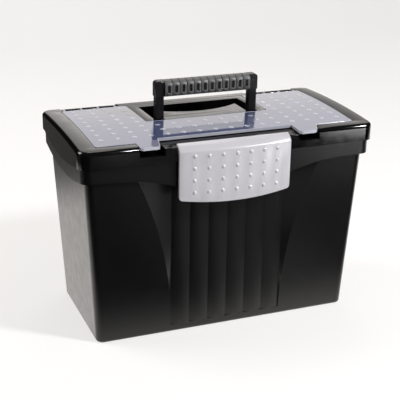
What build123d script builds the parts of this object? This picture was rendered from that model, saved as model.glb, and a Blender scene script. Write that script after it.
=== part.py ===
from build123d import *
import math
import os

# ---------------------------------------------------------------------------
# Portable file box with an organizer lid.  Millimetres, +Z up.
# Origin: centre of the underside.  -Y is the front (latch side), +X is right.
# ---------------------------------------------------------------------------

# ----- overall --------------------------------------------------------------
lid_length = 445.0         # outline of the closed box
lid_depth = 222.0
shoulder_z = 250.0         # lower edge of the tub's collar at the corners

# ----- tub ------------------------------------------------------------------
shoulder_inset = 10.5      # tub's wall under the collar, inside the lid's outline
base_taper_length = 14.0   # draft of each end wall from the shoulder to the floor
base_taper_depth = 8.0     # draft of the front and rear walls
tub_wall = 2.6
floor_thickness = 3.0
base_corner_radius = 11.0
base_edge_radius = 4.0
collar_inset = 3.5         # collar inside the lid's outline
collar_height = 20.5
collar_corner_radius = 13.0
lip_height = 7.0           # locating lip that stands up inside the lid

shoulder_length = lid_length - 2 * shoulder_inset
shoulder_depth = lid_depth - 2 * shoulder_inset
base_length = shoulder_length - 2 * base_taper_length
base_depth = shoulder_depth - 2 * base_taper_depth
collar_length = lid_length - 2 * collar_inset
collar_depth = lid_depth - 2 * collar_inset
collar_top_z = shoulder_z + collar_height
lip_top_z = collar_top_z + lip_height

# brow: the collar's front skirt dips behind the latch, (distance from the middle, dip)
brow_dips = ((185.0, 0.0), (141.0, 3.0), (109.0, 9.5), (81.0, 18.5), (46.0, 29.0))
brow_end_slope = 0.15
catch_half_length = 44.0
catch_height = 3.5
catch_proud = 1.6
brow_points = tuple((x, shoulder_z - dip) for x, dip in brow_dips)
brow_bottom_z = brow_points[-1][1]
end_sag = 12.3             # the collar's end skirts sag in the middle
end_sag_half = 94.0
lid_sag = 10.5             # and so do the end walls of the lid above them
lid_sag_half = 88.0

# recessed fluted panel in the front wall
panel_bottom_z = 12.0
panel_top_gap = 2.0        # panel ends this far under the shoulder
panel_half_bottom = 87.0
panel_flare = 55.0
panel_flare_power = 2.2
panel_sink = 1.2           # depth of the recess at the floor
flute_count = 6
flute_rise = 1.8
ramp_sections = 5

# file rails inside the two end walls
rail_ledge = 17.5          # end wall to rail: 389 apart, for legal-size hanging folders
rail_rise = 7.0            # rail's top above the shoulder
rail_drop = 9.0
rail_top_z = shoulder_z + rail_rise
rail_x = shoulder_length / 2 - rail_ledge

# ----- handle ---------------------------------------------------------------
handle_y = 1.0
handle_reach = 67.5        # pivot to the top of the grip
leg_inner_x = 67.0
leg_outer_x = 79.0
leg_depth = 12.0
core_height = 15.0
core_depth = 12.0
core_drop = 11.0           # middle of the bar below the top of the grip
grip_half_length = 66.2
grip_height = 24.0
grip_depth = 22.0
grip_corner_radius = 8.0
grip_segments = 12
grip_groove_width = 1.2
grip_groove_depth = 1.0
window_width = 4.4
window_height = 11.0
window_depth = 1.2
cap_lap = 0.7              # cap reaches this far over the leg's inner face
cap_wall = 1.2
cap_skirt = 22.0           # how far the cap comes down the leg
cap_rise = 0.8             # cap above the top of the grip
cap_depth = 14.6
cap_corner_radius = 5.0
cap_edge_radius = 1.5
pivot_radius = 3.0
pivot_seat = 4.5           # depth of each pivot pin in the lid
pivot_boss_wall = 3.0
pivot_boss_end = 1.5

# ----- lid ------------------------------------------------------------------
skirt_gap = 0.5            # between the collar's top and the skirt
lip_clearance = 2.2        # lid's inner blocks in front of the tub's lip
lid_height = 29.0          # skirt's lower edge to the crown
lid_corner_radius = 15.0
lid_edge_radius = 6.0
lid_wall = 2.6
crown_radius = 1500.0
seat_depth = 2.0           # seat of the cover below the crown
deck_thickness = 2.6
skirt_bottom_z = collar_top_z + skirt_gap
crown_z = skirt_bottom_z + lid_height   # highest line of the lid, over its centre
lid_front_y = -lid_depth / 2
lid_rear_y = lid_depth / 2
handle_axis_z = crown_z - 12.0
handle_top_z = handle_axis_z + handle_reach
core_z = handle_top_z - core_drop
cap_inner_x = leg_inner_x - cap_lap
cap_outer_x = leg_outer_x + cap_wall
cap_bottom_z = handle_top_z - cap_skirt
cap_top_z = handle_top_z + cap_rise

well_clearance = 3.5       # round the handle, upright and folded
well_leg_gap = 2.2
well_wall = 2.2
platform_leg_gap = 2.0
platform_grip_gap = 1.5
platform_scoop = 21.5
platform_drop = 0.4        # platform top below the crown
well_half_length = leg_outer_x + well_leg_gap
well_front_y = handle_y - leg_depth / 2 - well_clearance
well_rear_y = handle_y + handle_reach + well_clearance
well_floor_z = skirt_bottom_z + 3.0
platform_half_length = leg_inner_x - platform_leg_gap
platform_rear_y = handle_y + handle_reach - grip_height - platform_grip_gap

tray_wall = 2.0
tray_inner_x = 101.0
tray_side_margin = 31.5    # trays inside the lid's outline, at the ends
tray_edge_margin = 33.0    # and at the front and rear
tray_floor_rise = 2.0      # tray floor above the skirt's lower edge
divider_gap = 4.0          # divider top below the deck
pen_tray_half_length = 97.0
pen_tray_web = 5.5         # between the pen tray and the handle's well
tray_outer_x = lid_length / 2 - tray_side_margin
tray_front_y = lid_front_y + tray_edge_margin
tray_rear_y = lid_rear_y - tray_edge_margin
tray_floor_z = skirt_bottom_z + tray_floor_rise
pen_tray_rear_y = well_front_y - pen_tray_web

notch_left_x = (-139.0, -102.4)    # finger notch under each thumb tab
notch_right_x = (99.5, 132.0)
notch_depth = 15.0
notch_drop = 18.5          # notch floor below the crown
notch_floor_z = crown_z - notch_drop
bay_x = (-109.0, 104.0)    # ends of the latch bay's ledge
bay_drop = 5.2             # ledge below the crown
bay_wall = 2.2

# ----- organizer cover ------------------------------------------------------
cover_thickness = 1.8
cover_gap = 0.8            # between the cover's edge and its seat
cover_tray_lap = 4.5       # cover reaches past the trays at the ends
cover_front_margin = 18.5  # wings behind the lid's front edge
cover_strip_margin = 27.5  # middle strip behind the lid's front edge
cover_rear_margin = 24.0
cover_opening_margin = 14.8    # deck left bare beside the handle's well
cover_well_lap = 1.0
cover_corner_radius = 4.0
tab_overhang = 2.0         # tabs reach past the lid's front edge
tab_root_x = (-138.5, 100.0)   # left-hand root of each tab
tab_width = 35.0
tab_tip_start = 0.8        # the left side runs nearly straight forward
tab_tip_end = 28.0         # the right side slants
tab_corner_radii = (5.0, 5.0, 5.0, 11.0)   # of the tips, from left to right
cover_lip_height = 4.0     # turned-down front edge of the strip and the tabs
cover_lip_wall = 1.8
cover_axis_back = 10.0     # hinge axis behind the cover's rear edge
cover_axis_drop = 6.0      # and below the crown
cover_knuckle_radius = 3.4
cover_pin_radius = 1.2
cover_arm_width = 2.6
cover_arm_count = 4
cover_arm_margin = 5.5     # last arm inside the cover's end
cover_arm_inset = 16.0     # first arm beside the opening
cover_half_length = tray_outer_x + cover_tray_lap
cover_front_y = lid_front_y + cover_front_margin
cover_strip_front_y = lid_front_y + cover_strip_margin
cover_rear_y = lid_rear_y - cover_rear_margin
cover_opening_half = well_half_length + cover_opening_margin
cover_strip_rear_y = well_front_y - cover_well_lap
tab_front_y = lid_front_y - tab_overhang
cover_axis_y = cover_rear_y + cover_axis_back
cover_axis_z = crown_z - cover_axis_drop
cover_arm_first = cover_opening_half + cover_arm_inset
cover_arm_pitch = (cover_half_length - cover_arm_margin - cover_arm_first) / (cover_arm_count - 1)
cover_arm_xs = tuple(cover_arm_first + cover_arm_pitch * i for i in range(cover_arm_count))

# ----- latch ----------------------------------------------------------------
latch_half_length = 84.0
latch_stand_off = 6.0      # face at the two ends, in front of the lid
latch_bow = 5.0            # the face bulges forward in the middle
latch_crease_drop = 14.8   # front edge of the rolled top, below the crown
latch_roll_back = 6.0      # rear edge of the rolled top, behind the lid's front
latch_top_drop = 5.3       # and below the crown
latch_roll_rise = 1.6      # how far the rolled top swells
latch_crease_radius = 2.5
latch_thickness = 2.2
latch_corner_drop = 34.8   # lower corners below the shoulder
latch_arch = 6.9           # middle of the lower edge below its corners
latch_corner_radius = 5.0
latch_roll_sections = 5
latch_flange_gap = 1.6     # side flanges end this far in front of the lid
latch_axis_back = 4.0      # pin behind the lid's front
latch_axis_drop = 12.0     # and below the crown
latch_swing_radius = 7.0   # everything behind the axis stays inside this
latch_pin_radius = 1.5
latch_barrel_radius = 3.9
latch_end_barrel = 25.3
latch_middle_barrel = 28.0
latch_bay_clearance = 0.8
latch_pin_seat = 6.0
bead_half_length = 42.0
bead_height = 3.6
bead_bite = 1.1
bead_gap = 0.4
bump_columns = 7
bump_rows = 4
bump_pitch_x = 20.7
bump_pitch_z = 17.5
bump_first_rise = 9.8      # lowest row above the latch's lower corners
bump_radius = 3.0
bump_rise = 1.3
latch_face_y = lid_front_y - latch_stand_off
latch_crease_z = crown_z - latch_crease_drop
latch_top_y = lid_front_y + latch_roll_back
latch_top_z = crown_z - latch_top_drop
latch_corner_z = shoulder_z - latch_corner_drop
latch_middle_z = latch_corner_z - latch_arch
latch_flange_y = lid_front_y - latch_flange_gap
latch_axis_y = lid_front_y + latch_axis_back
latch_axis_z = crown_z - latch_axis_drop
latch_barrels = (
    (-latch_half_length, latch_end_barrel - latch_half_length),
    (-latch_middle_barrel / 2, latch_middle_barrel / 2),
    (latch_half_length - latch_end_barrel, latch_half_length),
)
bump_first_z = latch_corner_z + bump_first_rise

# ----- rear lid hinges ------------------------------------------------------
hinge_axis_back = 2.5      # axis behind the lid's rear face
hinge_axis_drop = 8.0      # and below the collar's top
hinge_x = 125.0
hinge_lug_width = 34.0
hinge_lug_lap = 8.0        # lug's root on the skirt
hinge_ear_width = 6.0
hinge_knuckle_radius = 5.0
hinge_pin_radius = 2.0
hinge_axis_y = lid_rear_y + hinge_axis_back
hinge_axis_z = collar_top_z - hinge_axis_drop

# ----- fits -----------------------------------------------------------------
running_fit = 0.08         # radial, pin in a turning knuckle
press_gap = 0.02           # radial, pin in its fixed seat
side_gap = 0.6             # along the pins
sleeve_gap = 0.02


# ---------------------------------------------------------------------------
# Shared shapes
# ---------------------------------------------------------------------------
def crown(y):
    """Height of the lid's crowned top at a distance y from the middle."""
    return crown_z - crown_radius + math.sqrt(crown_radius ** 2 - y ** 2)


def box(x0, x1, y0, y1, z0, z1):
    """Block between two corners."""
    return Pos((x0 + x1) / 2, (y0 + y1) / 2, (z0 + z1) / 2) * Box(x1 - x0, y1 - y0, z1 - z0)


def rounded_prism(length, depth, radius, z0, z1):
    """Upright prism with rounded plan corners."""
    outline = Plane.XY.offset(z0) * RectangleRounded(length, depth, radius)
    return extrude(outline, amount=z1 - z0)


def along_x(profile, x0, x1):
    """Sweep a closed list of (y, z) points from x0 to x1."""
    face = make_face(Polyline(*[(x0, y, z) for y, z in profile], close=True))
    return extrude(face, amount=x1 - x0, dir=(1, 0, 0))


def crowned_slab(x0, x1, y0, y1, z_bottom, drop):
    """Block whose top follows the lid's crown, lowered by drop."""
    top = ThreePointArc(
        (x0, y0, crown(y0) - drop),
        (x0, (y0 + y1) / 2, crown((y0 + y1) / 2) - drop),
        (x0, y1, crown(y1) - drop),
    )
    rest = Polyline((x0, y1, crown(y1) - drop), (x0, y1, z_bottom),
                    (x0, y0, z_bottom), (x0, y0, crown(y0) - drop))
    return extrude(make_face([top, rest]), amount=x1 - x0, dir=(1, 0, 0))


def rod(x0, x1, y, z, radius):
    """Round bar along X."""
    return Pos((x0 + x1) / 2, y, z) * Rot(0, 90, 0) * Cylinder(radius, x1 - x0)


def mirrored(shape):
    """A shape together with its image on the other side of the box."""
    return shape + mirror(shape, about=Plane.YZ)


def sagging_wall(x, z, half, sag, height):
    """Lower part of an end wall whose edge at height z sags in an arc."""
    arc = ThreePointArc((x, -half, z), (x, 0, z - sag), (x, half, z))
    rest = Polyline((x, half, z), (x, half, z + height), (x, -half, z + height), (x, -half, z))
    return extrude(make_face([arc, rest]), amount=tub_wall, dir=(-1, 0, 0))


def save(shape, name):
    """Write one sub-part."""
    solids = shape.solids()
    export_step(solids[0] if len(solids) == 1 else Compound(children=solids), f"parts/{name}.step")


os.makedirs("parts", exist_ok=True)


# ---------------------------------------------------------------------------
# Tub: tapered shell, turned-over collar, brow, fluted panel, rails, ears
# ---------------------------------------------------------------------------
def tub_outline(z, inset):
    """Rounded rectangle of the tapered wall at height z."""
    share = z / shoulder_z
    length = base_length + (shoulder_length - base_length) * share - 2 * inset
    depth = base_depth + (shoulder_depth - base_depth) * share - 2 * inset
    return Plane.XY.offset(z) * RectangleRounded(length, depth, base_corner_radius - inset)


def front_face_y(z):
    """Outer face of the front wall at height z."""
    return -(base_depth + (shoulder_depth - base_depth) * z / shoulder_z) / 2


panel_y = front_face_y(0) + panel_sink


def panel_half(z):
    """Half width of the recessed panel at height z."""
    return panel_half_bottom + panel_flare * (z / shoulder_z) ** panel_flare_power


def ramp_section(z, inset):
    """Plan outline of the slanted side ramp of the recess at height z, right-hand side."""
    front = front_face_y(z) - 30.0
    rim_y = front_face_y(z) - 0.2 + inset
    foot = panel_half_bottom + 0.5 * inset
    half = panel_half(z) + inset
    return make_face(Polyline(
        (foot - 1, front, z), (foot - 1, panel_y + inset, z), (foot, panel_y + inset, z),
        (half, rim_y, z), (half, front, z), close=True))


def panel_recess(inset, z0, z1):
    """Tool for the recessed panel: a fluted middle and a smooth ramp on each side."""
    foot = panel_half_bottom + 0.5 * inset
    pitch = 2 * foot / flute_count
    front = front_face_y(shoulder_z) - 30.0
    y = panel_y + inset
    edges = []
    for i in range(flute_count):
        x = -foot + i * pitch
        edges.append(ThreePointArc((x, y, z0), (x + pitch / 2, y - flute_rise, z0), (x + pitch, y, z0)))
    edges.append(Polyline((foot, y, z0), (foot, front, z0), (-foot, front, z0), (-foot, y, z0)))
    fluted = extrude(make_face(edges), amount=z1 - z0, dir=(0, 0, 1))
    heights = [z0 + (z1 - z0) * i / ramp_sections for i in range(ramp_sections + 1)]
    return fluted + mirrored(loft([ramp_section(z, inset) for z in heights]))


def make_tub():
    shell = loft([tub_outline(0, 0), tub_outline(shoulder_z, 0)])
    shell = fillet(shell.faces().sort_by(Axis.Z)[0].edges(), base_edge_radius)
    shell += rounded_prism(shoulder_length, shoulder_depth, base_corner_radius, shoulder_z, lip_top_z)
    panel_top_z = shoulder_z - panel_top_gap
    shell -= panel_recess(0, panel_bottom_z, panel_top_z)
    hollow = loft([tub_outline(floor_thickness, tub_wall), tub_outline(shoulder_z, tub_wall)])
    hollow += rounded_prism(
        shoulder_length - 2 * tub_wall, shoulder_depth - 2 * tub_wall,
        base_corner_radius - tub_wall, shoulder_z, lip_top_z,
    )
    hollow -= panel_recess(tub_wall, panel_bottom_z - tub_wall, panel_top_z + tub_wall)
    tub = shell - hollow

    # collar: a flange that turns down into a skirt all round
    collar = rounded_prism(collar_length, collar_depth, collar_corner_radius, shoulder_z, collar_top_z)
    collar -= rounded_prism(
        collar_length - 2 * tub_wall, collar_depth - 2 * tub_wall,
        collar_corner_radius - tub_wall, shoulder_z, collar_top_z - tub_wall,
    )
    collar -= rounded_prism(
        shoulder_length - tub_wall, shoulder_depth - tub_wall,
        base_corner_radius - tub_wall / 2, shoulder_z, collar_top_z,
    )
    tub += collar

    # brow: the front skirt dips behind the latch
    front = -collar_depth / 2
    right = Spline(*[(x, front, z) for x, z in brow_points],
                   tangents=((-1, 0, 0), (-1, 0, -brow_end_slope)))
    left = mirror(right, about=Plane.YZ)
    edge_x, edge_z = brow_points[0]
    low_x, low_z = brow_points[-1]
    flat = Line((low_x, front, low_z), (-low_x, front, low_z))
    top = collar_top_z - tub_wall
    closing = Polyline((-edge_x, front, edge_z), (-edge_x, front, top),
                       (edge_x, front, top), (edge_x, front, edge_z))
    tub += extrude(make_face([right, flat, left, closing]), amount=tub_wall, dir=(0, 1, 0))
    # catch ridge on the brow's lower edge
    tub += along_x(
        ((front + 0.5, low_z), (front - catch_proud, low_z),
         (front - catch_proud, low_z + catch_height * 0.5), (front + 0.5, low_z + catch_height)),
        -catch_half_length, catch_half_length,
    )
    # the end skirts sag in the middle
    tub += mirrored(sagging_wall(collar_length / 2, shoulder_z, end_sag_half, end_sag, collar_height / 2))

    # file rails: ledges across the end walls
    inner_wall = shoulder_length / 2 - tub_wall / 2
    rail_span = shoulder_depth / 2 - tub_wall / 2
    rail = box(rail_x, inner_wall, -rail_span, rail_span, rail_top_z - tub_wall, rail_top_z)
    rail += box(rail_x, rail_x + tub_wall, -rail_span, rail_span, rail_top_z - rail_drop, rail_top_z)
    envelope = rounded_prism(
        shoulder_length - tub_wall, shoulder_depth - tub_wall, base_corner_radius - tub_wall / 2,
        rail_top_z - rail_drop, rail_top_z,
    )
    tub += mirrored(rail & envelope)

    # rear hinge ears
    for sign in (-1, 1):
        for side in (-1, 1):
            inner = sign * hinge_x + side * (hinge_lug_width / 2 + side_gap)
            outer = inner + side * hinge_ear_width
            x0, x1 = min(inner, outer), max(inner, outer)
            ear = rod(x0, x1, hinge_axis_y, hinge_axis_z, hinge_knuckle_radius)
            ear += box(x0, x1, collar_depth / 2 - tub_wall / 2, hinge_axis_y,
                       hinge_axis_z - hinge_knuckle_radius, hinge_axis_z + hinge_knuckle_radius * 0.8)
            tub += ear
            tub -= rod(x0 - 1, x1 + 1, hinge_axis_y, hinge_axis_z, hinge_pin_radius + press_gap)
    return tub


# ---------------------------------------------------------------------------
# Outline shared by the organizer cover and its seat in the lid
# ---------------------------------------------------------------------------
def cover_prism(gap):
    """Upright prism of the U-shaped cover with its two thumb tabs, grown by gap."""
    half = cover_half_length + gap
    front = cover_front_y - gap
    strip_front = cover_strip_front_y - gap
    rear = cover_rear_y + gap
    opening = cover_opening_half - gap
    points = [(-half, rear), (-half, front)]
    for root in tab_root_x:
        left = (root - gap, front if root < 0 else strip_front)
        right = (root + tab_width + gap, strip_front if root < 0 else front)
        points += [left, (root + tab_tip_start - gap, tab_front_y - gap),
                   (root + tab_tip_end + gap, tab_front_y - gap), right]
    points += [(half, front), (half, rear), (opening, rear), (opening, cover_strip_rear_y + gap),
               (-opening, cover_strip_rear_y + gap), (-opening, rear)]
    prism = extrude(make_face(Polyline(*[(x, y, 0) for x, y in points], close=True)), amount=crown_z + 10)
    for i, radius in enumerate(tab_corner_radii):
        tip_x = tab_root_x[i // 2] + (tab_tip_end + gap if i % 2 else tab_tip_start - gap)
        tip = [e for e in prism.edges().filter_by(Axis.Z)
               if e.center().Y < tab_front_y - gap + 0.1 and abs(e.center().X - tip_x) < 0.1]
        prism = fillet(tip, radius + gap)
    others = [e for e in prism.edges().filter_by(Axis.Z) if abs(abs(e.center().X) - half) < 0.1
              or abs(abs(e.center().X) - opening) < 0.1]
    return fillet(others, cover_corner_radius)


# ---------------------------------------------------------------------------
# Lid: crowned shell with the trays, the handle well and the latch bay
# ---------------------------------------------------------------------------
def make_lid():
    outer = rounded_prism(lid_length, lid_depth, lid_corner_radius, skirt_bottom_z, crown_z + 1)
    outer &= crowned_slab(-lid_length / 2 - 1, lid_length / 2 + 1, -lid_depth / 2 - 1, lid_depth / 2 + 1,
                          skirt_bottom_z - 1, 0)
    top_face = outer.faces().sort_by(Axis.Z)[-1]
    outer = fillet(top_face.edges(), lid_edge_radius)

    inner_length = lid_length - 2 * lid_wall
    inner_depth = lid_depth - 2 * lid_wall
    deck_drop = seat_depth + deck_thickness
    hollow = rounded_prism(inner_length, inner_depth, lid_corner_radius - lid_wall, skirt_bottom_z, crown_z)
    hollow &= crowned_slab(-inner_length / 2 - 1, inner_length / 2 + 1,
                           -inner_depth / 2 - 1, inner_depth / 2 + 1, skirt_bottom_z - 1, deck_drop)
    lid = outer - hollow
    lid += mirrored(sagging_wall(lid_length / 2, skirt_bottom_z, lid_sag_half, lid_sag, lid_height / 3))

    def basin(x0, x1, y0, y1, floor_z, wall):
        """Outside of a sunk tray, reaching up into the deck."""
        return crowned_slab(x0 - wall, x1 + wall, y0 - wall, y1 + wall, floor_z - wall, deck_drop - 0.5)

    trays = mirrored(basin(tray_inner_x, tray_outer_x, tray_front_y, tray_rear_y, tray_floor_z, tray_wall))
    trays += basin(-pen_tray_half_length, pen_tray_half_length, tray_front_y, pen_tray_rear_y,
                   tray_floor_z, tray_wall)
    well = basin(-well_half_length, well_half_length, well_front_y, well_rear_y, well_floor_z, well_wall)
    # local blocks behind the latch bay and the finger notches
    front = lid_front_y
    notch_back = front + notch_depth
    bay_radius = latch_swing_radius + latch_bay_clearance
    bay_back = latch_axis_y + bay_radius + bay_wall
    bay_half = latch_half_length + side_gap + latch_pin_seat
    shoulder = lip_top_z + 1.5
    blocks = crowned_slab(-bay_half, bay_half, front + 1, bay_back, shoulder, deck_drop - 0.5)
    blocks += box(-bay_half, bay_half, front + 1, -shoulder_depth / 2 - lip_clearance,
                  latch_axis_z - bay_radius - bay_wall, shoulder)
    for x0, x1 in (notch_left_x, notch_right_x):
        blocks += crowned_slab(x0 - lid_wall, x1 + lid_wall, front + 1, notch_back + lid_wall,
                               notch_floor_z - lid_wall, deck_drop - 0.5)
    bay_rear = cover_strip_front_y + cover_lip_wall + cover_gap
    blocks += crowned_slab(bay_x[0] - bay_wall, bay_x[1] + bay_wall, front + 1, bay_rear + bay_wall,
                           crown(front) - bay_drop - deck_thickness, deck_drop - 0.5)
    lid = lid + trays + well + blocks

    # sunk trays
    high = crown_z + 5
    lid -= mirrored(box(tray_inner_x, tray_outer_x, tray_front_y, tray_rear_y, tray_floor_z, high))
    lid -= box(-pen_tray_half_length, pen_tray_half_length, tray_front_y, pen_tray_rear_y,
               tray_floor_z, high)
    divider_y = (tray_front_y + tray_rear_y) / 2
    lid += mirrored(box(tray_inner_x - 0.5, tray_outer_x + 0.5,
                        divider_y - tray_wall / 2, divider_y + tray_wall / 2,
                        tray_floor_z - 0.5, crown_z - deck_drop - divider_gap))

    # handle well with a scooped platform between the legs
    lid -= box(-well_half_length, well_half_length, well_front_y, well_rear_y, well_floor_z, high)
    platform = crowned_slab(-platform_half_length, platform_half_length, well_front_y - 0.5,
                            platform_rear_y, well_floor_z - 0.5, platform_drop)
    scoop_radius = (platform_half_length ** 2 + platform_scoop ** 2) / (2 * platform_scoop)
    scoop = Pos(0, platform_rear_y + scoop_radius - platform_scoop, (well_floor_z + high) / 2) * Cylinder(
        scoop_radius, high - well_floor_z)
    platform -= scoop
    lid += platform
    core = crowned_slab(-platform_half_length + well_wall, platform_half_length - well_wall,
                        well_front_y + well_wall, platform_rear_y - well_wall,
                        well_floor_z - 2 * well_wall, platform_drop + deck_thickness)
    core -= Pos(0, -well_wall, -3 * well_wall) * scoop
    lid -= core

    # seat for the organizer cover, the cover's own outline plus a gap
    seat = crowned_slab(-lid_length / 2, lid_length / 2, tab_front_y - 5, cover_rear_y + 5,
                        crown_z - 20, -5)
    seat -= crowned_slab(-lid_length / 2 - 1, lid_length / 2 + 1, tab_front_y - 6, cover_rear_y + 6,
                         crown_z - 21, seat_depth)
    lid -= seat & cover_prism(cover_gap)

    # trough for the cover's rear knuckles
    trough_radius = cover_knuckle_radius + 0.6
    trough_inner = cover_arm_xs[0] - 6
    trough_outer = cover_arm_xs[-1] + 4
    floor = crowned_slab(trough_inner - 2, trough_outer + 2, tray_rear_y + tray_wall, lid_depth / 2 - 1,
                         cover_axis_z - trough_radius - 2.4, deck_drop - 0.5)
    lid += mirrored(floor)
    cut = rod(trough_inner, trough_outer, cover_axis_y, cover_axis_z, trough_radius)
    cut += box(trough_inner, trough_outer, cover_rear_y - 2, cover_axis_y + trough_radius,
               cover_axis_z, high)
    cut += box(trough_inner, trough_outer, cover_axis_y, lid_depth / 2 + 1, cover_axis_z, high)
    lid -= mirrored(cut)
    # fixed knuckles between the cover's arms
    for i in range(len(cover_arm_xs) - 1):
        x0 = cover_arm_xs[i] + cover_arm_width / 2 + side_gap / 2
        x1 = cover_arm_xs[i + 1] - cover_arm_width / 2 - side_gap / 2
        bar = rod(x0, x1, cover_axis_y, cover_axis_z, cover_knuckle_radius)
        bar += box(x0, x1, cover_axis_y - cover_knuckle_radius, cover_axis_y + cover_knuckle_radius,
                   cover_axis_z - trough_radius - 1, cover_axis_z)
        lid += mirrored(bar)
    lid -= mirrored(rod(trough_inner - 4, trough_outer + 3, cover_axis_y, cover_axis_z,
                        cover_pin_radius + press_gap))

    # latch bay with its pin seats, and the finger notches under the tabs
    bay = crowned_slab(notch_left_x[1] - 1, notch_right_x[0] + 1, front - 1, bay_rear, crown_z - 20, -5)
    bay += crowned_slab(bay_x[0], bay_x[1], notch_back - 1, bay_rear, crown_z - 20, -5)
    bay -= crowned_slab(bay_x[0] - 1, bay_x[1] + 1, front - 2, bay_rear + 1, crown_z - 21, bay_drop)
    lid -= bay
    for x0, x1 in (notch_left_x, notch_right_x):
        lid -= box(x0, x1, front - 1, notch_back, notch_floor_z, high)
    swing_half = latch_half_length + side_gap
    lid -= rod(-swing_half, swing_half, latch_axis_y, latch_axis_z, bay_radius)
    lid -= box(-swing_half, swing_half, latch_axis_y, latch_axis_y + bay_radius, latch_axis_z, high)
    lid -= rod(-bay_half - 1, bay_half + 1, latch_axis_y, latch_axis_z, latch_pin_radius + press_gap)

    # seats of the handle's pivot pins
    seat_x0 = platform_half_length - pivot_seat
    seat_x1 = well_half_length + pivot_seat
    boss_radius = pivot_radius + pivot_boss_wall
    lid += mirrored(rod(well_half_length, seat_x1 + pivot_boss_end, handle_y, handle_axis_z, boss_radius))
    lid += mirrored(rod(seat_x0 - pivot_boss_end, platform_half_length, handle_y, handle_axis_z,
                        boss_radius))
    lid -= mirrored(rod(seat_x0, seat_x1, handle_y, handle_axis_z, pivot_radius + press_gap))

    # rear hinge lugs hang from the skirt
    for sign in (-1, 1):
        x0 = sign * hinge_x - hinge_lug_width / 2
        x1 = sign * hinge_x + hinge_lug_width / 2
        lug = rod(x0, x1, hinge_axis_y, hinge_axis_z, hinge_knuckle_radius)
        lug += box(x0, x1, lid_depth / 2 - lid_wall, hinge_axis_y + hinge_knuckle_radius,
                   hinge_axis_z, skirt_bottom_z + hinge_lug_lap)
        lid += lug
        lid -= rod(x0 - 1, x1 + 1, hinge_axis_y, hinge_axis_z, hinge_pin_radius + running_fit)
    return lid


# ---------------------------------------------------------------------------
# Organizer cover: one translucent U-shaped plate with two thumb tabs
# ---------------------------------------------------------------------------
def make_cover():
    slab = crowned_slab(-cover_half_length - 1, cover_half_length + 1, tab_front_y - 1, cover_rear_y + 1,
                        crown_z - 20, 0)
    slab -= crowned_slab(-cover_half_length - 2, cover_half_length + 2, tab_front_y - 2, cover_rear_y + 2,
                         crown_z - 21, cover_thickness)
    plate = slab & cover_prism(0)

    # the front edge of the strip and the tabs turns down over the bay and the notches
    rim = crowned_slab(bay_x[0] - 60, bay_x[1] + 60, tab_front_y - 1, cover_strip_front_y + cover_lip_wall,
                       crown_z - 20, 0.4)
    rim -= crowned_slab(bay_x[0] - 61, bay_x[1] + 61, tab_front_y - 2, cover_strip_front_y + 10,
                        crown_z - 21, cover_lip_height)
    rim &= cover_prism(0) - cover_prism(-cover_lip_wall)
    low = crown_z - 15
    notch_back = lid_front_y + notch_depth
    room = box(bay_x[0] + cover_gap, bay_x[1] - cover_gap, notch_back - 2, cover_rear_y, low, crown_z)
    for x0, x1 in (notch_left_x, notch_right_x):
        room += box(x0 + cover_gap, x1 - cover_gap, tab_front_y - 2, notch_back - cover_gap, low, crown_z)
    plate += rim & room

    # hinge arms reach back and down round the pins
    for x in cover_arm_xs:
        x0 = x - cover_arm_width / 2
        x1 = x + cover_arm_width / 2
        arm = rod(x0, x1, cover_axis_y, cover_axis_z, cover_knuckle_radius)
        top = crown(cover_rear_y)
        arm += along_x(
            ((cover_rear_y - 1, top - 0.05), (cover_rear_y + 3, top - 0.05),
             (cover_axis_y + cover_knuckle_radius * 0.6, cover_axis_z + cover_knuckle_radius * 0.8),
             (cover_axis_y, cover_axis_z), (cover_axis_y - cover_knuckle_radius, cover_axis_z),
             (cover_rear_y - 1, top - cover_thickness)),
            x0, x1,
        )
        arm -= rod(x0 - 1, x1 + 1, cover_axis_y, cover_axis_z, cover_pin_radius + running_fit)
        plate += mirrored(arm)
    return plate


# ---------------------------------------------------------------------------
# Front latch: rolled-over plate that hangs from its pin and snaps on the catch
# ---------------------------------------------------------------------------
def latch_plan_y(x):
    """Front of the latch's bowed face at a distance x from the middle."""
    bow_radius = (latch_half_length ** 2 + latch_bow ** 2) / (2 * latch_bow)
    return latch_face_y - latch_bow + bow_radius - math.sqrt(bow_radius ** 2 - x ** 2)


def latch_body(inset):
    """Bowed block under the rolled top, moved in by inset on the outer sides."""
    half = latch_half_length - inset
    front = latch_face_y + inset
    rear = latch_top_y + 1
    foot = latch_middle_z - 2
    top = latch_top_z + 5
    bowed = ThreePointArc((-half, front, foot), (0, front - latch_bow, foot), (half, front, foot))
    sides = Polyline((half, front, foot), (half, rear, foot), (-half, rear, foot), (-half, front, foot))
    block = extrude(make_face([bowed, sides]), amount=top - foot, dir=(0, 0, 1))
    # everything above the rolled top is cut off; its crease stays level along the bow
    sections = []
    for i in range(latch_roll_sections):
        x = (latch_half_length + 1) * (2 * i / (latch_roll_sections - 1) - 1)
        crease = (latch_plan_y(x) + inset, latch_crease_z - inset)
        tip = (rear, latch_top_z - inset)
        middle = ((crease[0] + tip[0]) / 2 - latch_roll_rise / 2,
                  (crease[1] + tip[1]) / 2 + latch_roll_rise)
        ahead = (latch_face_y - latch_bow - 8, latch_crease_z - 6)
        roll = ThreePointArc((x, *crease), (x, *middle), (x, *tip))
        rest = Polyline((x, *tip), (x, tip[0], top + 1), (x, ahead[0], top + 1), (x, *ahead), (x, *crease))
        sections.append(make_face([roll, rest]))
    return block - loft(sections)


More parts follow.
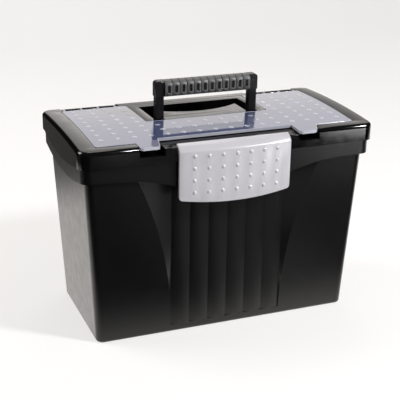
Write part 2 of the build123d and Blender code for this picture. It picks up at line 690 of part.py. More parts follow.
def make_latch():
    body = latch_body(0)
    crease = body.edges().filter_by(lambda e: e.center().Z > latch_crease_z - 3
                                    and e.center().Y < latch_face_y and e.length > latch_half_length)
    body = fillet(crease, latch_crease_radius)
    latch = body - latch_body(latch_thickness)
    swing = rod(-latch_half_length, latch_half_length, latch_axis_y, latch_axis_z, latch_swing_radius)
    swing += box(-latch_half_length, latch_half_length, latch_face_y - 10, latch_flange_y,
                 latch_middle_z - 3, latch_top_z + 5)
    latch &= swing

    # arched lower edge with rounded corners
    bow = latch_corner_z - latch_middle_z
    bow_radius = (latch_half_length ** 2 + bow ** 2) / (2 * bow)
    keep = Pos(0, latch_axis_y, latch_middle_z + bow_radius) * Rot(90, 0, 0) * Cylinder(bow_radius, 60)
    keep &= box(-latch_half_length, latch_half_length, -150, -90, latch_middle_z - 5, latch_top_z + 20)
    lower_edges = keep.edges().filter_by(Axis.Y).sort_by(Axis.Z)[:2]
    keep = fillet(lower_edges, latch_corner_radius)
    latch &= keep

    # barrels round the pin
    for a, b in latch_barrels:
        latch += rod(a, b, latch_axis_y, latch_axis_z, latch_barrel_radius)
    latch -= rod(-latch_half_length - 1, latch_half_length + 1, latch_axis_y, latch_axis_z,
                 latch_pin_radius + running_fit)

    # snap bead that sits under the catch ridge
    catch_front = -collar_depth / 2 - catch_proud
    bead_top = brow_bottom_z - bead_gap
    bead_tip = catch_front + bead_bite
    back_y = latch_face_y - latch_bow / 2
    latch += along_x(
        ((back_y, bead_top), (bead_tip, bead_top), (bead_tip, bead_top - bead_height * 0.5),
         (back_y, bead_top - bead_height)),
        -bead_half_length, bead_half_length,
    )

    # raised dots on the bowed face
    sphere_radius = (bump_radius ** 2 + bump_rise ** 2) / (2 * bump_rise)
    for row in range(bump_rows):
        for column in range(bump_columns):
            x = (column - (bump_columns - 1) / 2) * bump_pitch_x
            z = bump_first_z + row * bump_pitch_z
            face_y = latch_plan_y(x)
            dot = Pos(x, face_y - bump_rise + sphere_radius, z) * Rot(90, 0, 0) * Sphere(sphere_radius)
            latch += dot & box(x - 4, x + 4, face_y - 3, face_y + 1.0, z - 4, z + 4)
    return latch


# ---------------------------------------------------------------------------
# Handle: frame, rubber sleeve and two end caps
# ---------------------------------------------------------------------------
def make_handle_frame():
    half = leg_depth / 2
    leg = rod(leg_inner_x, leg_outer_x, handle_y, handle_axis_z, half)
    leg += box(leg_inner_x, leg_outer_x, handle_y - half, handle_y + half,
               handle_axis_z, core_z + core_height / 2)
    frame = mirrored(leg)
    frame += box(-leg_outer_x, leg_outer_x, handle_y - core_depth / 2, handle_y + core_depth / 2,
                 core_z - core_height / 2, core_z + core_height / 2)
    frame -= mirrored(rod(leg_inner_x - 1, leg_outer_x + 1, handle_y, handle_axis_z,
                          pivot_radius + running_fit))
    return frame


def make_grip():
    section = Plane(origin=(-grip_half_length, handle_y, core_z), x_dir=(0, 1, 0), z_dir=(1, 0, 0))
    grip = extrude(section * RectangleRounded(grip_depth, grip_height, grip_corner_radius),
                   amount=2 * grip_half_length)
    pitch = 2 * grip_half_length / grip_segments
    inner = section * RectangleRounded(
        grip_depth - 2 * grip_groove_depth, grip_height - 2 * grip_groove_depth,
        grip_corner_radius - grip_groove_depth)
    ring_outer = section * RectangleRounded(grip_depth + 4, grip_height + 4, grip_corner_radius)
    for i in range(1, grip_segments):
        ring = extrude(ring_outer, amount=grip_groove_width) - extrude(inner, amount=grip_groove_width)
        grip -= Pos(i * pitch - grip_groove_width / 2, 0, 0) * ring
    for i in range(grip_segments):
        x = -grip_half_length + (i + 0.5) * pitch
        for side in (-1, 1):
            plane = Plane(origin=(x, handle_y + side * grip_depth / 2, core_z),
                          x_dir=(1, 0, 0), z_dir=(0, side, 0))
            window = extrude(plane * SlotOverall(window_height, window_width, rotation=90),
                             amount=-window_depth)
            grip -= window
    bore = box(-grip_half_length - 1, grip_half_length + 1,
               handle_y - core_depth / 2 - sleeve_gap, handle_y + core_depth / 2 + sleeve_gap,
               core_z - core_height / 2 - sleeve_gap, core_z + core_height / 2 + sleeve_gap)
    return grip - bore


def make_cap():
    """Right-hand end cap, open at the inside for the frame's corner."""
    cap = box(cap_inner_x, cap_outer_x, handle_y - cap_depth / 2, handle_y + cap_depth / 2, cap_bottom_z,
              cap_top_z)
    outer_top = cap.edges().filter_by(Axis.Y).sort_by(Axis.Z)[-2:].sort_by(Axis.X)[-1]
    cap = fillet(outer_top, cap_corner_radius)
    lengthwise = cap.faces().sort_by(Axis.Z)[-1].edges().filter_by(Axis.X)
    cap = fillet(lengthwise, cap_edge_radius)
    socket = box(cap_inner_x - 1, leg_outer_x + sleeve_gap, handle_y - leg_depth / 2 - sleeve_gap,
                 handle_y + leg_depth / 2 + sleeve_gap,
                 cap_bottom_z - 1, core_z + core_height / 2 + sleeve_gap)
    return cap - socket


tub = make_tub()
lid = make_lid()
cap = make_cap()

save(tub, "tub")
save(lid, "lid")
save(make_cover(), "organizer_cover")
save(make_latch(), "front_latch")
save(make_handle_frame(), "handle_frame")
save(make_grip(), "grip_sleeve")
save(cap, "right_end_cap")
save(mirror(cap, about=Plane.YZ), "left_end_cap")

# pins
pin_end = latch_half_length + side_gap + latch_pin_seat
save(rod(-pin_end, pin_end, latch_axis_y, latch_axis_z, latch_pin_radius), "latch_hinge_pin")
pivot = rod(platform_half_length - pivot_seat, well_half_length + pivot_seat, handle_y, handle_axis_z,
            pivot_radius)
save(pivot, "right_handle_pivot")
save(mirror(pivot, about=Plane.YZ), "left_handle_pivot")
cover_pin = rod(cover_arm_xs[0] - 9, cover_arm_xs[-1] + 6, cover_axis_y, cover_axis_z, cover_pin_radius)
save(cover_pin, "right_cover_hinge_pin")
save(mirror(cover_pin, about=Plane.YZ), "left_cover_hinge_pin")
reach = hinge_lug_width / 2 + side_gap + hinge_ear_width
lid_pin = rod(hinge_x - reach, hinge_x + reach, hinge_axis_y, hinge_axis_z, hinge_pin_radius)
save(lid_pin, "right_lid_hinge_pin")
save(mirror(lid_pin, about=Plane.YZ), "left_lid_hinge_pin")
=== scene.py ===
import math

import bmesh
import bpy
from mathutils import Matrix, Vector


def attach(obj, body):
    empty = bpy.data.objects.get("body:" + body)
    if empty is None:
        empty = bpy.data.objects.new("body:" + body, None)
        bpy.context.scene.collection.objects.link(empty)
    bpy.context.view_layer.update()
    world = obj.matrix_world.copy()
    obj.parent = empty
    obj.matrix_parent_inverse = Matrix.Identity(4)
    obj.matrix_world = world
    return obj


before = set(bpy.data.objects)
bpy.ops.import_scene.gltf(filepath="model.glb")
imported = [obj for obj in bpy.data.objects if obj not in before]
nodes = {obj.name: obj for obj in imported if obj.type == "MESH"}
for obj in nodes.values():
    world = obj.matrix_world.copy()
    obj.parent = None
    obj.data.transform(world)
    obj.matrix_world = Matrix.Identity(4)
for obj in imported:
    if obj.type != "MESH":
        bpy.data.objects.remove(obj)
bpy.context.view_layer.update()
MM = 0.001


# --- Tub -----------------------------------------------------------------------
# The tapered bin that holds the folders, with its turned-down collar, brow and fluted
# panel. One injection moulding in black polypropylene, fine-grained and half glossy.
def shader_tree(name):
    """A new node material with its shader and link list at hand."""
    material = bpy.data.materials.new(name)
    material.use_nodes = True
    tree = material.node_tree
    return material, tree, tree.nodes["Principled BSDF"]


def position(tree, scale=(1, 1, 1)):
    """Place on the moulding in metres, stretched by scale."""
    place = tree.nodes.new("ShaderNodeTexCoord")
    mapping = tree.nodes.new("ShaderNodeMapping")
    mapping.inputs["Scale"].default_value = scale
    tree.links.new(place.outputs["Object"], mapping.inputs["Vector"])
    return mapping.outputs["Vector"]


def noise(tree, size_mm, detail=2.0, stretch=(1, 1, 1)):
    """Cloudy pattern whose spots are about size_mm across."""
    cloud = tree.nodes.new("ShaderNodeTexNoise")
    cloud.inputs["Scale"].default_value = 1 / (size_mm * MM)
    cloud.inputs["Detail"].default_value = detail
    tree.links.new(position(tree, stretch), cloud.inputs["Vector"])
    return cloud.outputs["Fac"]


def spread(tree, value, low, high, start=0.35, end=0.65):
    """Maps a 0 to 1 pattern on to a range."""
    ramp = tree.nodes.new("ShaderNodeMapRange")
    ramp.inputs["From Min"].default_value = start
    ramp.inputs["From Max"].default_value = end
    ramp.inputs["To Min"].default_value = low
    ramp.inputs["To Max"].default_value = high
    tree.links.new(value, ramp.inputs["Value"])
    return ramp.outputs["Result"]


def two_tone(tree, value, dark, light):
    """Blend of two colours by a pattern."""
    blend = tree.nodes.new("ShaderNodeMix")
    blend.data_type = "RGBA"
    blend.inputs["A"].default_value = (*dark, 1)
    blend.inputs["B"].default_value = (*light, 1)
    tree.links.new(value, blend.inputs["Factor"])
    return blend.outputs["Result"]


def bumps(tree, shader, layers):
    """Stacks relief patterns, each (pattern, height in mm, strength)."""
    normal = None
    for pattern, height_mm, strength in layers:
        relief = tree.nodes.new("ShaderNodeBump")
        relief.inputs["Strength"].default_value = strength
        relief.inputs["Distance"].default_value = height_mm * MM
        tree.links.new(pattern, relief.inputs["Height"])
        if normal:
            tree.links.new(normal, relief.inputs["Normal"])
        normal = relief.outputs["Normal"]
    tree.links.new(normal, shader.inputs["Normal"])


def moulded_black(name, dark, light, rough, grain_mm, grain_height, wave_height, polish=0.0):
    """Black polypropylene: cloudy tone, fine spark-eroded grain and a slow sink waviness."""
    material, tree, shader = shader_tree(name)
    cloud = noise(tree, 35, 3)
    tree.links.new(two_tone(tree, cloud, dark, light), shader.inputs["Base Color"])
    tree.links.new(spread(tree, noise(tree, 14, 4), rough[0], rough[1]), shader.inputs["Roughness"])
    shader.inputs["IOR"].default_value = 1.5
    shader.inputs["Coat Weight"].default_value = polish
    shader.inputs["Coat Roughness"].default_value = 0.26
    bumps(tree, shader, (
        (noise(tree, 40, 1, (1, 1, 0.12)), wave_height, 1.0),
        (noise(tree, grain_mm, 2), grain_height, 0.6),
    ))
    return material


def dress(node, material, edge_mm=0.0):
    """Gives a moulding its finish and breaks its sharp edges as a mould does."""
    piece = nodes[node]
    piece.data.materials.clear()
    piece.data.materials.append(material)
    if edge_mm:
        weld = piece.modifiers.new("weld", "WELD")
        weld.merge_threshold = 1e-6
        bevel = piece.modifiers.new("broken_edges", "BEVEL")
        bevel.width = edge_mm * MM
        bevel.segments = 2
        bevel.limit_method = "ANGLE"
        bevel.angle_limit = math.radians(40)
        bevel.harden_normals = True


shell_black = moulded_black(
    "shell_black", dark=(0.0022, 0.0022, 0.0025), light=(0.0036, 0.0036, 0.0039), rough=(0.28, 0.35),
    grain_mm=0.5, grain_height=0.02, wave_height=0.12, polish=0.55)
dress("tub", shell_black)

# --- Lid -----------------------------------------------------------------------
# The crowned lid with its trays, handle well and latch bay. The same black
# polypropylene as the tub, but glossier all over.
lid_black = moulded_black(
    "lid_black", dark=(0.0018, 0.0018, 0.0020), light=(0.0030, 0.0030, 0.0033), rough=(0.09, 0.14),
    grain_mm=0.5, grain_height=0.008, wave_height=0.08)
dress("lid", lid_black, edge_mm=0.4)


# --- Organizer cover -----------------------------------------------------------
# The see-through cover over the trays, one U-shaped plate with two thumb tabs. It is
# moulded in tinted polypropylene with rows of small raised dots; a pale bead round its edge is a painted
# highlight of the rounded edge.
def tinted_plastic(name, dark, light, rough, coat, sag_mm=0.0):
    """Cloudy tinted polypropylene with a polished skin, sagging towards the front if asked."""
    material, tree, shader = shader_tree(name)
    tree.links.new(two_tone(tree, noise(tree, 25, 3), dark, light), shader.inputs["Base Color"])
    tree.links.new(spread(tree, noise(tree, 9, 3), rough[0], rough[1]), shader.inputs["Roughness"])
    shader.inputs["Coat Weight"].default_value = coat
    shader.inputs["Coat Roughness"].default_value = 0.05
    shader.inputs["Coat IOR"].default_value = 1.8
    relief = [(noise(tree, 3, 3), 0.012, 0.5)]
    if sag_mm:
        depth = tree.nodes.new("ShaderNodeSeparateXYZ")
        tree.links.new(position(tree), depth.inputs[0])
        slope = spread(tree, depth.outputs["Y"], 0.0, 1.0, -sag_reach, sag_reach)
        relief.append((slope, sag_mm, 1.0))
    bumps(tree, shader, relief)
    return material


sag_reach = 0.12
cover_blue = tinted_plastic(
    "cover_blue", dark=(0.056, 0.068, 0.150), light=(0.070, 0.084, 0.170), rough=(0.04, 0.06),
    coat=1.0, sag_mm=21.0)
dress("organizer_cover", cover_blue)
# painted highlight: the turned-down edges look pale, because the light runs along the plate, so faces that
# are not upright get a pale base colour
cover_tree = cover_blue.node_tree
cover_shader = cover_tree.nodes["Principled BSDF"]
cover_shader.inputs["IOR"].default_value = 1.9
cover_shader.inputs["Coat IOR"].default_value = 2.5
plate_tone = cover_shader.inputs["Base Color"].links[0].from_socket
facing = cover_tree.nodes.new("ShaderNodeSeparateXYZ")
cover_tree.links.new(cover_tree.nodes.new("ShaderNodeTexCoord").outputs["Normal"], facing.inputs[0])
upright = cover_tree.nodes.new("ShaderNodeMath")
upright.operation = "ABSOLUTE"
cover_tree.links.new(facing.outputs["Z"], upright.inputs[0])
edge_highlight_paint = cover_tree.nodes.new("ShaderNodeMix")
edge_highlight_paint.data_type = "RGBA"
# pale colour of the painted edge highlight
edge_highlight_paint.inputs["B"].default_value = (0.50, 0.51, 0.57, 1)
highlight_share = spread(cover_tree, upright.outputs[0], 1.0, 0.0, 0.5, 0.8)
cover_tree.links.new(highlight_share, edge_highlight_paint.inputs["Factor"])
cover_tree.links.new(plate_tone, edge_highlight_paint.inputs["A"])
cover_tree.links.new(edge_highlight_paint.outputs["Result"], cover_shader.inputs["Base Color"])

lid_top, crown_radius = 300, 1500


def crown(y):
    """Height of the crowned top over a distance y from the middle, in mm."""
    return lid_top - crown_radius + math.sqrt(crown_radius ** 2 - y ** 2)


def dome(mesh, centre, radius, rise, rings=4, around=16, sunk=0.05):
    """A soft round bump standing on the crowned top, its rim a little sunk, in mm."""
    cx, cy = centre
    middle = mesh.verts.new((cx * MM, cy * MM, (crown(cy) + rise) * MM))
    loops = []
    for ring in range(1, rings + 1):
        share = ring / rings
        lift = rise * (1 + math.cos(math.pi * share)) / 2 - (sunk if ring == rings else 0)
        loop = []
        for step in range(around):
            angle = 2 * math.pi * step / around
            x = cx + radius * share * math.cos(angle)
            y = cy + radius * share * math.sin(angle)
            loop.append(mesh.verts.new((x * MM, y * MM, (crown(y) + lift) * MM)))
        loops.append(loop)
    for step in range(around):
        after = (step + 1) % around
        mesh.faces.new((middle, loops[0][step], loops[0][after]))
        for inner, outer in zip(loops, loops[1:]):
            mesh.faces.new((inner[step], outer[step], outer[after], inner[after]))
    mesh.faces.new(list(reversed(loops[-1])))


def finish_piece(name, mesh, material, body, smooth=True):
    """Turns a built mesh into a named piece that rides on a body."""
    data = bpy.data.meshes.new(name)
    mesh.to_mesh(data)
    mesh.free()
    for face in data.polygons:
        face.use_smooth = smooth and len(face.vertices) < 8
    piece = bpy.data.objects.new(name, data)
    bpy.context.scene.collection.objects.link(piece)
    piece.data.materials.append(material)
    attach(piece, body)


dot_rows, dot_columns = 8, 16
dot_pitch_x, dot_pitch_y, dot_front_y = 24.15, 20.8, -69.0
dot_radius, dot_rise = 4.3, 0.45
# no dots where the U is open
opening_half, opening_front = 105, -20
cover_dots = bmesh.new()
for row in range(dot_rows):
    y = dot_front_y + row * dot_pitch_y
    for column in range(dot_columns):
        x = (column - (dot_columns - 1) / 2) * dot_pitch_x
        if abs(x) > opening_half or y < opening_front:
            dome(cover_dots, (x, y), dot_radius, dot_rise)
# the dots and the edge bead get a pale frosted colour, whose paleness is painted highlight standing in for
# the reflections and glints they catch
frost_highlight = tinted_plastic(
    "frost_highlight", dark=(0.30, 0.32, 0.40), light=(0.37, 0.39, 0.47), rough=(0.25, 0.35), coat=1.0)
finish_piece("cover_dots", cover_dots, frost_highlight, "cover")

# a fine pale bead runs round the plate, a painted highlight along its edge: (x, y, corner radius),
# counter-clockwise
edge_corners = (
    (-195.5, 87, 4), (-195.5, -92.5, 4), (-138.5, -92.5, 1), (-137.7, -113, 5), (-110.5, -113, 5),
    (-103.5, -83.5, 1), (100, -83.5, 1), (100.8, -113, 5), (128, -113, 11), (135, -92.5, 1),
    (195.5, -92.5, 4), (195.5, 87, 4), (96, 87, 4), (96, -9.5, 4), (-96, -9.5, 4), (-96, 87, 4))
# section of the bead: (distance in from the outline, height over the plate)
edge_profile = (
    (0.02, -0.9), (0.05, 0.0), (0.3, 0.2), (0.6, 0.26), (0.9, 0.2), (1.15, -0.05), (1.1, -0.9))
bend_steps = 6
edge_path = []
for i, (x, y, radius) in enumerate(edge_corners):
    corner = Vector((x, y))
    before = (Vector(edge_corners[i - 1][:2]) - corner).normalized()
    after = (Vector(edge_corners[(i + 1) % len(edge_corners)][:2]) - corner).normalized()
    reach = radius / math.tan(before.angle(after) / 2)
    for step in range(bend_steps + 1):
        t = step / bend_steps
        edge_path.append(corner + before * reach * (1 - t) ** 2 + after * reach * t ** 2)
cover_edge_highlight = bmesh.new()
edge_rings = []
for i, point in enumerate(edge_path):
    along = (edge_path[(i + 1) % len(edge_path)] - edge_path[i - 1]).normalized()
    inward = Vector((-along.y, along.x))
    ring = []
    for inset, lift in edge_profile:
        spot = point + inward * inset
        ring.append(cover_edge_highlight.verts.new((spot.x * MM, spot.y * MM, (crown(spot.y) + lift) * MM)))
    edge_rings.append(ring)
for ring, after in zip(edge_rings, edge_rings[1:] + edge_rings[:1]):
    for step in range(len(edge_profile)):
        wrap = (step + 1) % len(edge_profile)
        cover_edge_highlight.faces.new((ring[step], after[step], after[wrap], ring[wrap]))
bmesh.ops.recalc_face_normals(cover_edge_highlight, faces=cover_edge_highlight.faces)
finish_piece("cover_edge_highlight", cover_edge_highlight, frost_highlight, "cover")

# --- Front latch ---------------------------------------------------------------
# The wide latch plate, rolled over its pin, with four rows of raised dots. Pearly
# frosted polypropylene, thick enough to hide the black shell behind it.
latch_pearl = tinted_plastic(
    "latch_pearl", dark=(0.470, 0.460, 0.490), light=(0.530, 0.518, 0.548), rough=(0.3, 0.4), coat=0.8)
latch_pearl.node_tree.nodes["Principled BSDF"].inputs["Coat Roughness"].default_value = 0.22
dress("front_latch", latch_pearl, edge_mm=0.35)

# --- Handle frame --------------------------------------------------------------
# The bail's two legs and the bar inside the grip, moulded in satin black plastic
# with a fine leathery grain.
handle_black = moulded_black(
    "handle_black", dark=(0.0030, 0.0026, 0.0028), light=(0.0052, 0.0045, 0.0048), rough=(0.26, 0.34),
    grain_mm=0.9, grain_height=0.05, wave_height=0.2)
dress("handle_frame", handle_black, edge_mm=0.9)

# --- End caps ------------------------------------------------------------------
# The two caps that close the handle's corners, pressed over the frame and held by
# the grip. The same satin plastic, a little greyer.
cap_black = moulded_black(
    "cap_black", dark=(0.008, 0.008, 0.0085), light=(0.012, 0.012, 0.0125), rough=(0.22, 0.32),
    grain_mm=0.9, grain_height=0.04, wave_height=0.1)
for cap in ("left_end_cap", "right_end_cap"):
    dress(cap, cap_black, edge_mm=0.5)

# --- Grip sleeve ---------------------------------------------------------------
# The soft grey rubber sleeve round the handle's bar, in twelve segments, each with a
# small framed window that is black at the bottom. It is slid on before the caps.
grip_rubber, grip_tree, grip_shader = shader_tree("grip_rubber")
grip_tone = two_tone(grip_tree, noise(grip_tree, 12, 3), (0.085, 0.085, 0.085), (0.112, 0.112, 0.112))
grip_tree.links.new(grip_tone, grip_shader.inputs["Base Color"])
grip_rough = spread(grip_tree, noise(grip_tree, 5, 3), 0.42, 0.52)
grip_tree.links.new(grip_rough, grip_shader.inputs["Roughness"])
bumps(grip_tree, grip_shader, ((noise(grip_tree, 0.7, 2), 0.05, 0.7),))
dress("grip_sleeve", grip_rubber, edge_mm=0.25)

grip_segments, loop_steps = 12, 24
handle_y, grip_z, grip_half, grip_face = 1.0, 344.5, 66.2, 11.0
window_half_width, window_half_height = 2.2, 5.5


def window_loop(mesh, segment, side, half_width, half_height, corner, lift, scale=1.0):
    """Ring of points round a segment's window, lifted off the sleeve's face, in mm."""
    x0 = -grip_half + (segment + 0.5) * grip_half / (grip_segments / 2)
    y = handle_y + side * (grip_face + lift)
    loop = []
    for step in range(loop_steps):
        angle = 2 * math.pi * (step + 0.5) / loop_steps
        x = corner * math.cos(angle) + math.copysign(half_width - corner, math.cos(angle))
        z = corner * math.sin(angle) + math.copysign(half_height - corner, math.sin(angle))
        loop.append(mesh.verts.new(((x0 + scale * x) * MM, y * MM, (grip_z + scale * z) * MM)))
    return loop


# raised frame round each window, on both faces of the sleeve
frame_half_width, frame_half_height, frame_rise = 3.6, 7.6, 0.35
frame_slope, frame_lip, frame_overlap, frame_sunk = 0.35, 0.3, 0.05, -0.1
frame_corner_share = 0.95
frame_profile = (
    (frame_half_width, frame_half_height, frame_sunk),
    (frame_half_width - frame_slope, frame_half_height - frame_slope, frame_rise),
    (window_half_width + frame_lip, window_half_height + frame_lip, frame_rise),
    (window_half_width - frame_overlap, window_half_height - frame_overlap, frame_sunk))
grip_frames = bmesh.new()
for segment in range(grip_segments):
    for side in (-1, 1):
        loops = [
            window_loop(grip_frames, segment, side, half_width, half_height,
                        half_width * frame_corner_share, lift)
            for half_width, half_height, lift in frame_profile]
        for outer, inner in zip(loops, loops[1:] + loops[:1]):
            for step in range(loop_steps):
                after = (step + 1) % loop_steps
                quad = (outer[step], outer[after], inner[after], inner[step])
                grip_frames.faces.new(quad if side < 0 else tuple(reversed(quad)))
finish_piece("grip_frames", grip_frames, grip_rubber, "handle")

# black inlay on the floor of each window
inlay_depths, inlay_scale = (0.85, 1.25), 0.97
grip_inlays = bmesh.new()
for segment in range(grip_segments):
    for side in (-1, 1):
        outer, inner = [
            window_loop(grip_inlays, segment, side, window_half_width, window_half_height,
                        window_half_width, -depth, inlay_scale)
            for depth in inlay_depths]
        grip_inlays.faces.new(outer)
        grip_inlays.faces.new(tuple(reversed(inner)))
        for step in range(loop_steps):
            after = (step + 1) % loop_steps
            grip_inlays.faces.new((outer[step], inner[step], inner[after], outer[after]))
bmesh.ops.recalc_face_normals(grip_inlays, faces=grip_inlays.faces)
finish_piece("grip_inlays", grip_inlays, cap_black, "handle", smooth=False)

# --- Pins ----------------------------------------------------------------------
# Drawn steel wire pins of the latch, the cover and the lid, and the two moulded
# pivots of the handle.
pin_steel, pin_tree, pin_shader = shader_tree("pin_steel")
drawn_along, scratched_along = (0.1, 1, 1), (0.05, 1, 1)
pin_tone = two_tone(pin_tree, noise(pin_tree, 2, 2, drawn_along), (0.5, 0.5, 0.52), (0.62, 0.62, 0.64))
pin_tree.links.new(pin_tone, pin_shader.inputs["Base Color"])
pin_shader.inputs["Metallic"].default_value = 1.0
pin_rough = spread(pin_tree, noise(pin_tree, 1, 2, drawn_along), 0.25, 0.4)
pin_tree.links.new(pin_rough, pin_shader.inputs["Roughness"])
bumps(pin_tree, pin_shader, ((noise(pin_tree, 0.3, 2, scratched_along), 0.01, 0.4),))
for pin in ("latch_hinge_pin", "left_cover_hinge_pin", "right_cover_hinge_pin",
            "left_lid_hinge_pin", "right_lid_hinge_pin"):
    dress(pin, pin_steel)
for pin in ("left_handle_pivot", "right_handle_pivot"):
    dress(pin, handle_black)

# --- Studio --------------------------------------------------------------------
# White paper swept up behind the box, soft lamps, and the camera where the
# photographer stood.
def sweep_point(t):
    """Depth and height along the paper: flat floor, a wide bend, then a wall."""
    front, flat, bend_radius = -1.4, 3.2, 1.0
    quarter = bend_radius * math.pi / 2
    if t < flat:
        return front + t, 0.0
    if t < flat + quarter:
        turn = (t - flat) / bend_radius
        return front + flat + bend_radius * math.sin(turn), bend_radius * (1 - math.cos(turn))
    return front + flat + bend_radius, bend_radius + t - flat - quarter


paper_steps, paper_length, paper_columns = 96, 7.6, (-4, -2, 0, 2, 4)
paper_mesh = bpy.data.meshes.new("paper")
paper_bmesh = bmesh.new()
rows = []
for i in range(paper_steps + 1):
    depth, height = sweep_point(i / paper_steps * paper_length)
    rows.append([paper_bmesh.verts.new((x, depth, height)) for x in paper_columns])
for near, far in zip(rows, rows[1:]):
    for a in range(len(paper_columns) - 1):
        paper_bmesh.faces.new((near[a], near[a + 1], far[a + 1], far[a]))
paper_bmesh.to_mesh(paper_mesh)
paper_bmesh.free()
for polygon in paper_mesh.polygons:
    polygon.use_smooth = True
paper = bpy.data.objects.new("paper", paper_mesh)
bpy.context.scene.collection.objects.link(paper)

paper_white, paper_tree, paper_shader = shader_tree("paper_white")
paper_shader.inputs["Base Color"].default_value = (0.9, 0.89, 0.88, 1)
paper_shader.inputs["Roughness"].default_value = 0.9
paper_shader.inputs["Specular IOR Level"].default_value = 0.0


def faded(tree, value, start, end, low, high):
    """Smooth change from low to high as value goes from start to end."""
    ramp = tree.nodes.new("ShaderNodeMapRange")
    ramp.interpolation_type = "SMOOTHSTEP"
    ramp.inputs["From Min"].default_value = start
    ramp.inputs["From Max"].default_value = end
    ramp.inputs["To Min"].default_value = low
    ramp.inputs["To Max"].default_value = high
    tree.links.new(value, ramp.inputs["Value"])
    return ramp.outputs["Result"]


def combine(tree, operation, first, second):
    """Two values put together."""
    step = tree.nodes.new("ShaderNodeMath")
    step.operation = operation
    for socket, value in zip(step.inputs, (first, second)):
        if isinstance(value, (int, float)):
            socket.default_value = value
        else:
            tree.links.new(value, socket)
    return step.outputs[0]


# the paper is bright behind and beside the box and falls off into the dark room in front
place = paper_tree.nodes.new("ShaderNodeSeparateXYZ")
paper_tree.links.new(position(paper_tree), place.inputs[0])
brightness = faded(paper_tree, place.outputs["Y"], -0.22, -0.02, 0.015, 1.0)
far_behind = faded(paper_tree, place.outputs["Y"], 0.38, 0.62, 0.0, 1.0)
off_left = faded(paper_tree, place.outputs["X"], -0.34, -0.16, 1.0, 0.0)
unlit = combine(paper_tree, "MULTIPLY", combine(paper_tree, "MULTIPLY", far_behind, off_left), 0.9)
brightness = combine(paper_tree, "MULTIPLY", brightness, combine(paper_tree, "SUBTRACT", 1.0, unlit))
paper_end = faded(paper_tree, place.outputs["X"], -0.75, -0.5, 0.1, 1.0)
brightness = combine(paper_tree, "MULTIPLY", brightness, paper_end)
patch_left = faded(paper_tree, place.outputs["X"], -0.08, 0.12, 0.0, 1.0)
patch_right = faded(paper_tree, place.outputs["X"], 0.16, 0.34, 1.0, 0.0)
patch = combine(paper_tree, "MULTIPLY", combine(paper_tree, "MULTIPLY", patch_left, patch_right), 0.16)
brightness = combine(paper_tree, "MINIMUM", combine(paper_tree, "ADD", brightness, patch), 1.0)
rays = paper_tree.nodes.new("ShaderNodeLightPath")
mirrored_rays = combine(
    paper_tree, "MAXIMUM", rays.outputs["Is Glossy Ray"], rays.outputs["Is Transmission Ray"])
camera_glow = paper_tree.nodes.new("ShaderNodeEmission")
camera_glow.inputs["Color"].default_value = (1.0, 0.99, 0.975, 1)
mirror_glow = paper_tree.nodes.new("ShaderNodeEmission")
mirror_glow.inputs["Color"].default_value = (1.0, 0.965, 0.93, 1)
paper_tree.links.new(brightness, mirror_glow.inputs["Strength"])
seen_directly = paper_tree.nodes.new("ShaderNodeMixShader")
camera_share = combine(paper_tree, "MULTIPLY", rays.outputs["Is Camera Ray"], 0.6)
paper_tree.links.new(camera_share, seen_directly.inputs[0])
paper_tree.links.new(paper_shader.outputs[0], seen_directly.inputs[1])
paper_tree.links.new(camera_glow.outputs[0], seen_directly.inputs[2])
seen_in_gloss = paper_tree.nodes.new("ShaderNodeMixShader")
paper_tree.links.new(mirrored_rays, seen_in_gloss.inputs[0])
paper_tree.links.new(seen_directly.outputs[0], seen_in_gloss.inputs[1])
paper_tree.links.new(mirror_glow.outputs[0], seen_in_gloss.inputs[2])
paper_tree.links.new(seen_in_gloss.outputs[0], paper_tree.nodes["Material Output"].inputs["Surface"])
paper.data.materials.append(paper_white)


def softbox(name, size, place, target, watts, colour=(1, 1, 1)):
    """A square cloth-fronted lamp aimed at a point."""
    lamp = bpy.data.lights.new(name, "AREA")
    lamp.shape = "RECTANGLE"
    lamp.size, lamp.size_y = size
    lamp.energy = watts
    lamp.color = colour
    stand = bpy.data.objects.new(name, lamp)
    stand.location = place
    aim = Vector(target) - Vector(place)
    stand.rotation_euler = aim.to_track_quat("-Z", "Y").to_euler()
    bpy.context.scene.collection.objects.link(stand)


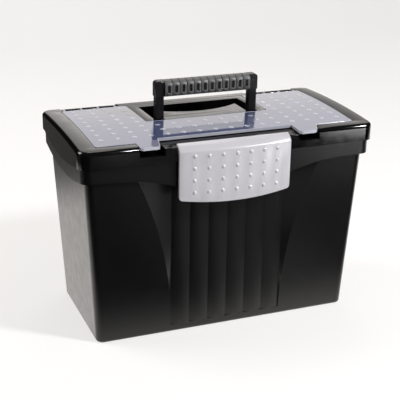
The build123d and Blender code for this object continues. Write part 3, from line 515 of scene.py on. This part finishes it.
softbox("key_light", (1.2, 1.2), (-1.6, 0.9, 1.7), (0, 0, 0.15), 30, (1, 0.96, 0.92))
softbox("back_light", (0.8, 0.8), (0.5, 1.1, 2.6), (0, 0, 0.25), 7, (1, 0.92, 0.84))
softbox("front_light", (0.26, 0.26), (1.2, -1.25, 1.5), (0, 0, 0.2), 46, (0.98, 0.98, 1))
softbox("right_strip", (0.22, 0.05), (0.69, -0.92, 0.02), (0.16, -0.111, 0.286), 0.36)
softbox("left_strip", (0.09, 0.05), (0.077, -0.92, 0.02), (-0.17, -0.111, 0.286), 0.006)

world = bpy.data.worlds.new("room")
bpy.context.scene.world = world
world.use_nodes = True
room = world.node_tree
air = room.nodes["Background"]
air.inputs["Color"].default_value = (1, 0.985, 0.98, 1)
rays = room.nodes.new("ShaderNodeLightPath")
mirrored_rays = combine(room, "MAXIMUM", rays.outputs["Is Glossy Ray"], rays.outputs["Is Transmission Ray"])
room_fill, mirror_loss, camera_gain = 0.30, 0.26, 0.70
dimmed = combine(room, "SUBTRACT", room_fill, combine(room, "MULTIPLY", mirrored_rays, mirror_loss))
gain = combine(room, "MULTIPLY", rays.outputs["Is Camera Ray"], camera_gain)
whole = combine(room, "ADD", dimmed, gain)
room.links.new(whole, air.inputs["Strength"])

# viewing direction in degrees, the point looked at and the lens, as fitted to the photograph
camera_degrees = (-21.87, 21.05, 0.96)
camera_target, camera_distance = (-0.0065, 0, 0.16448), 1.5465
focal_px, photo_px, sensor_mm = 1014.86, 400, 36
camera_data = bpy.data.cameras.new("camera")
camera = bpy.data.objects.new("camera", camera_data)
bpy.context.scene.collection.objects.link(camera)
bpy.context.scene.camera = camera
swing, rise, tilt = (math.radians(angle) for angle in camera_degrees)
back = Vector((math.sin(swing) * math.cos(rise), -math.cos(swing) * math.cos(rise), math.sin(rise)))
level = (-back).cross(Vector((0, 0, 1))).normalized()
upright = level.cross(-back)
across = math.cos(tilt) * level + math.sin(tilt) * upright
upward = -math.sin(tilt) * level + math.cos(tilt) * upright
eye = Vector(camera_target) + back * camera_distance
camera.matrix_world = Matrix((
    (across.x, upward.x, back.x, eye.x),
    (across.y, upward.y, back.y, eye.y),
    (across.z, upward.z, back.z, eye.z),
    (0, 0, 0, 1),
))
camera_data.sensor_width = sensor_mm
camera_data.lens = focal_px / photo_px * sensor_mm
camera_data.clip_end = 50

bpy.context.scene.view_settings.view_transform = "Standard"
